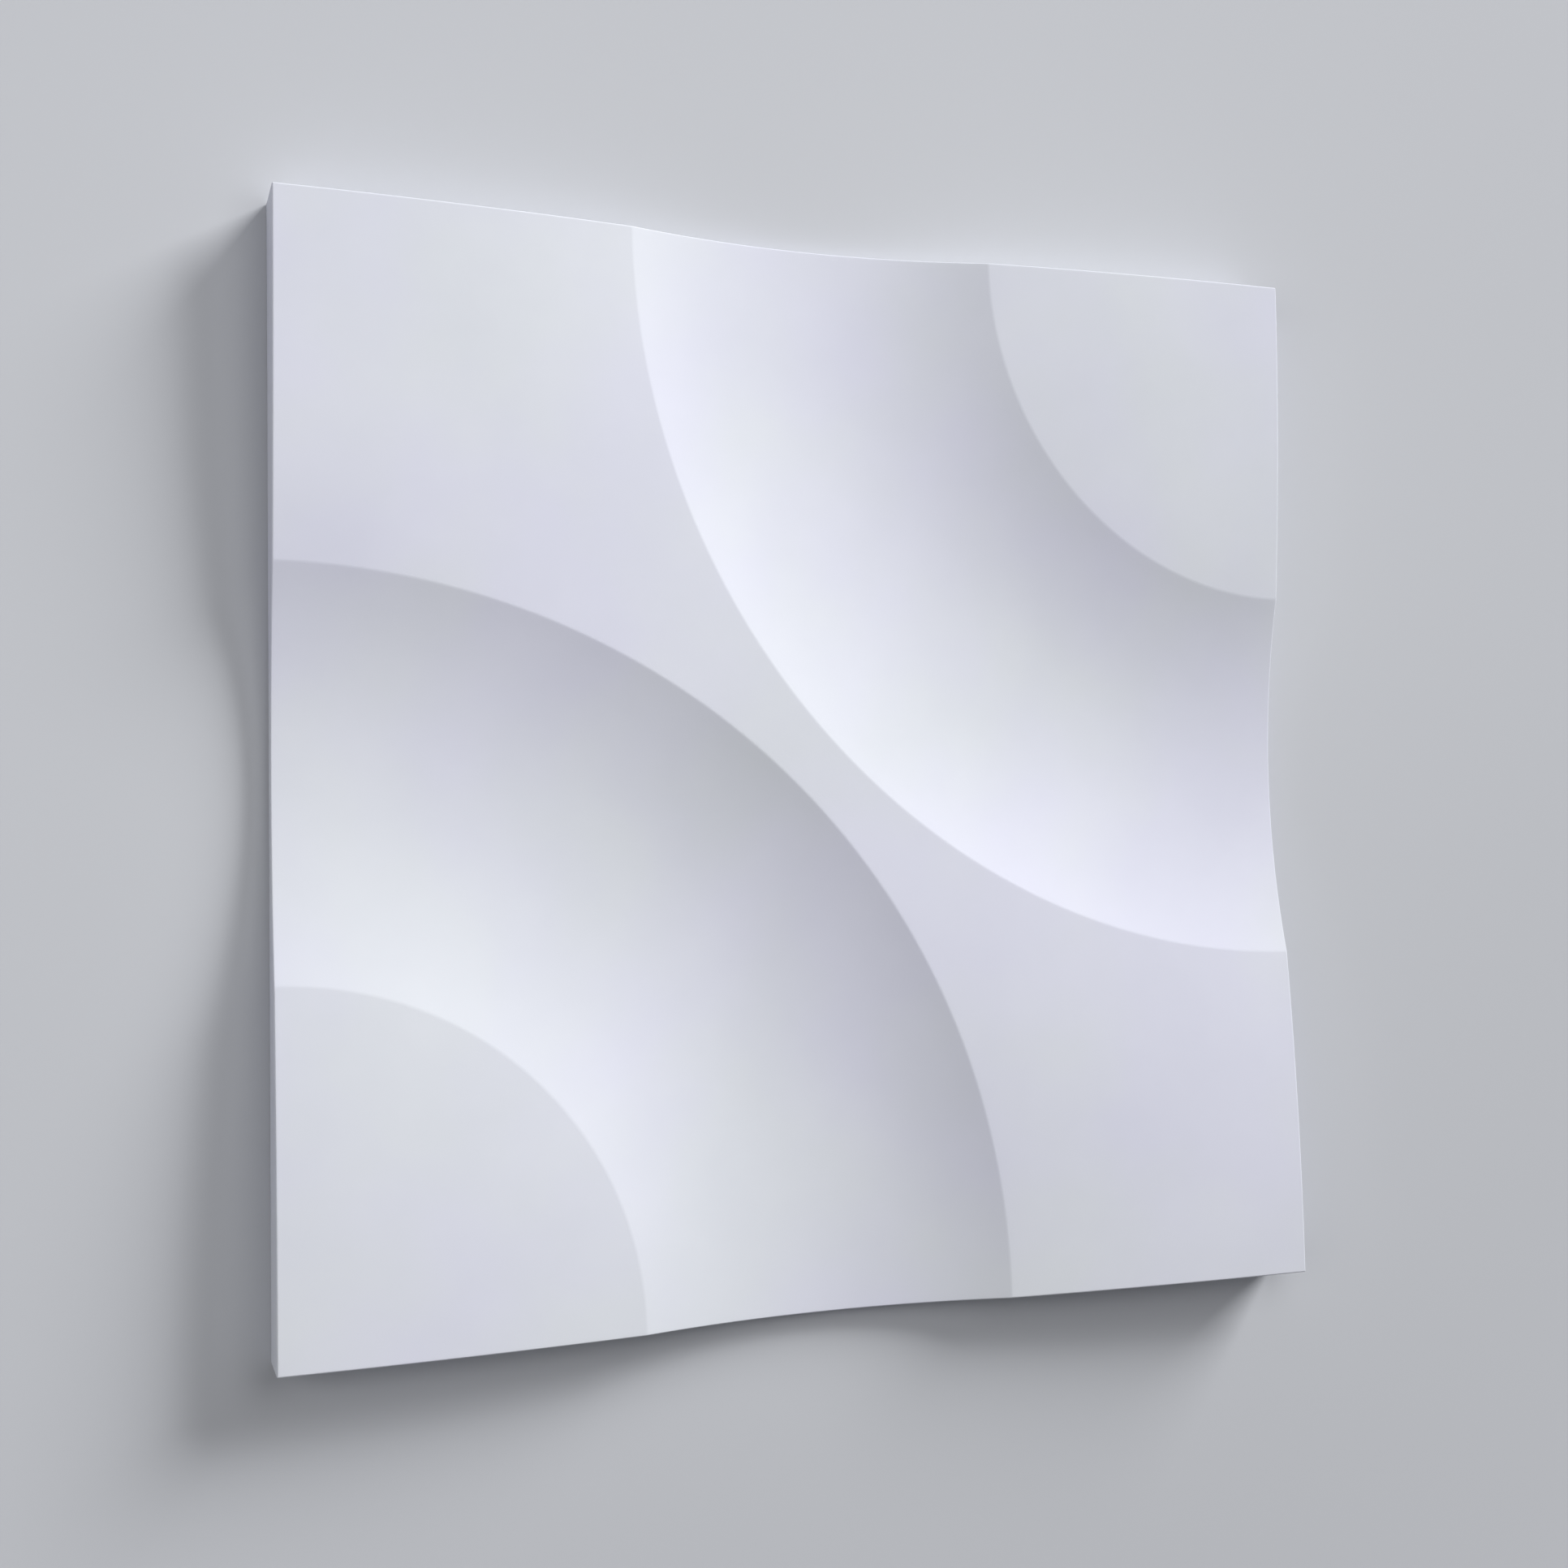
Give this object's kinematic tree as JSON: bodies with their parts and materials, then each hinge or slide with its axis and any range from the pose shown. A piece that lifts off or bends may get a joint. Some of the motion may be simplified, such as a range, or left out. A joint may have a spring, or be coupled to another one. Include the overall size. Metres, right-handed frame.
{
  "type": "3d wall panel tile",
  "caption": "Square cast gypsum wall tile in relief: shallow quarter-ring channels about opposite corners and a smooth field between them.",
  "frame": {"origin": "middle of the flat back face, with the tile lying on its back", "axes": "+Z out of the relief face, +X and +Y along the sides; the ring channels are turned about the corner at +X +Y and the corner at -X -Y"},
  "size_m": [0.5, 0.5, 0.027],
  "materials": {
    "gypsum": "matt white cast gypsum"
  },
  "bodies": {
    "root": {"wall_tile": "gypsum"}
  },
  "joints": []
}
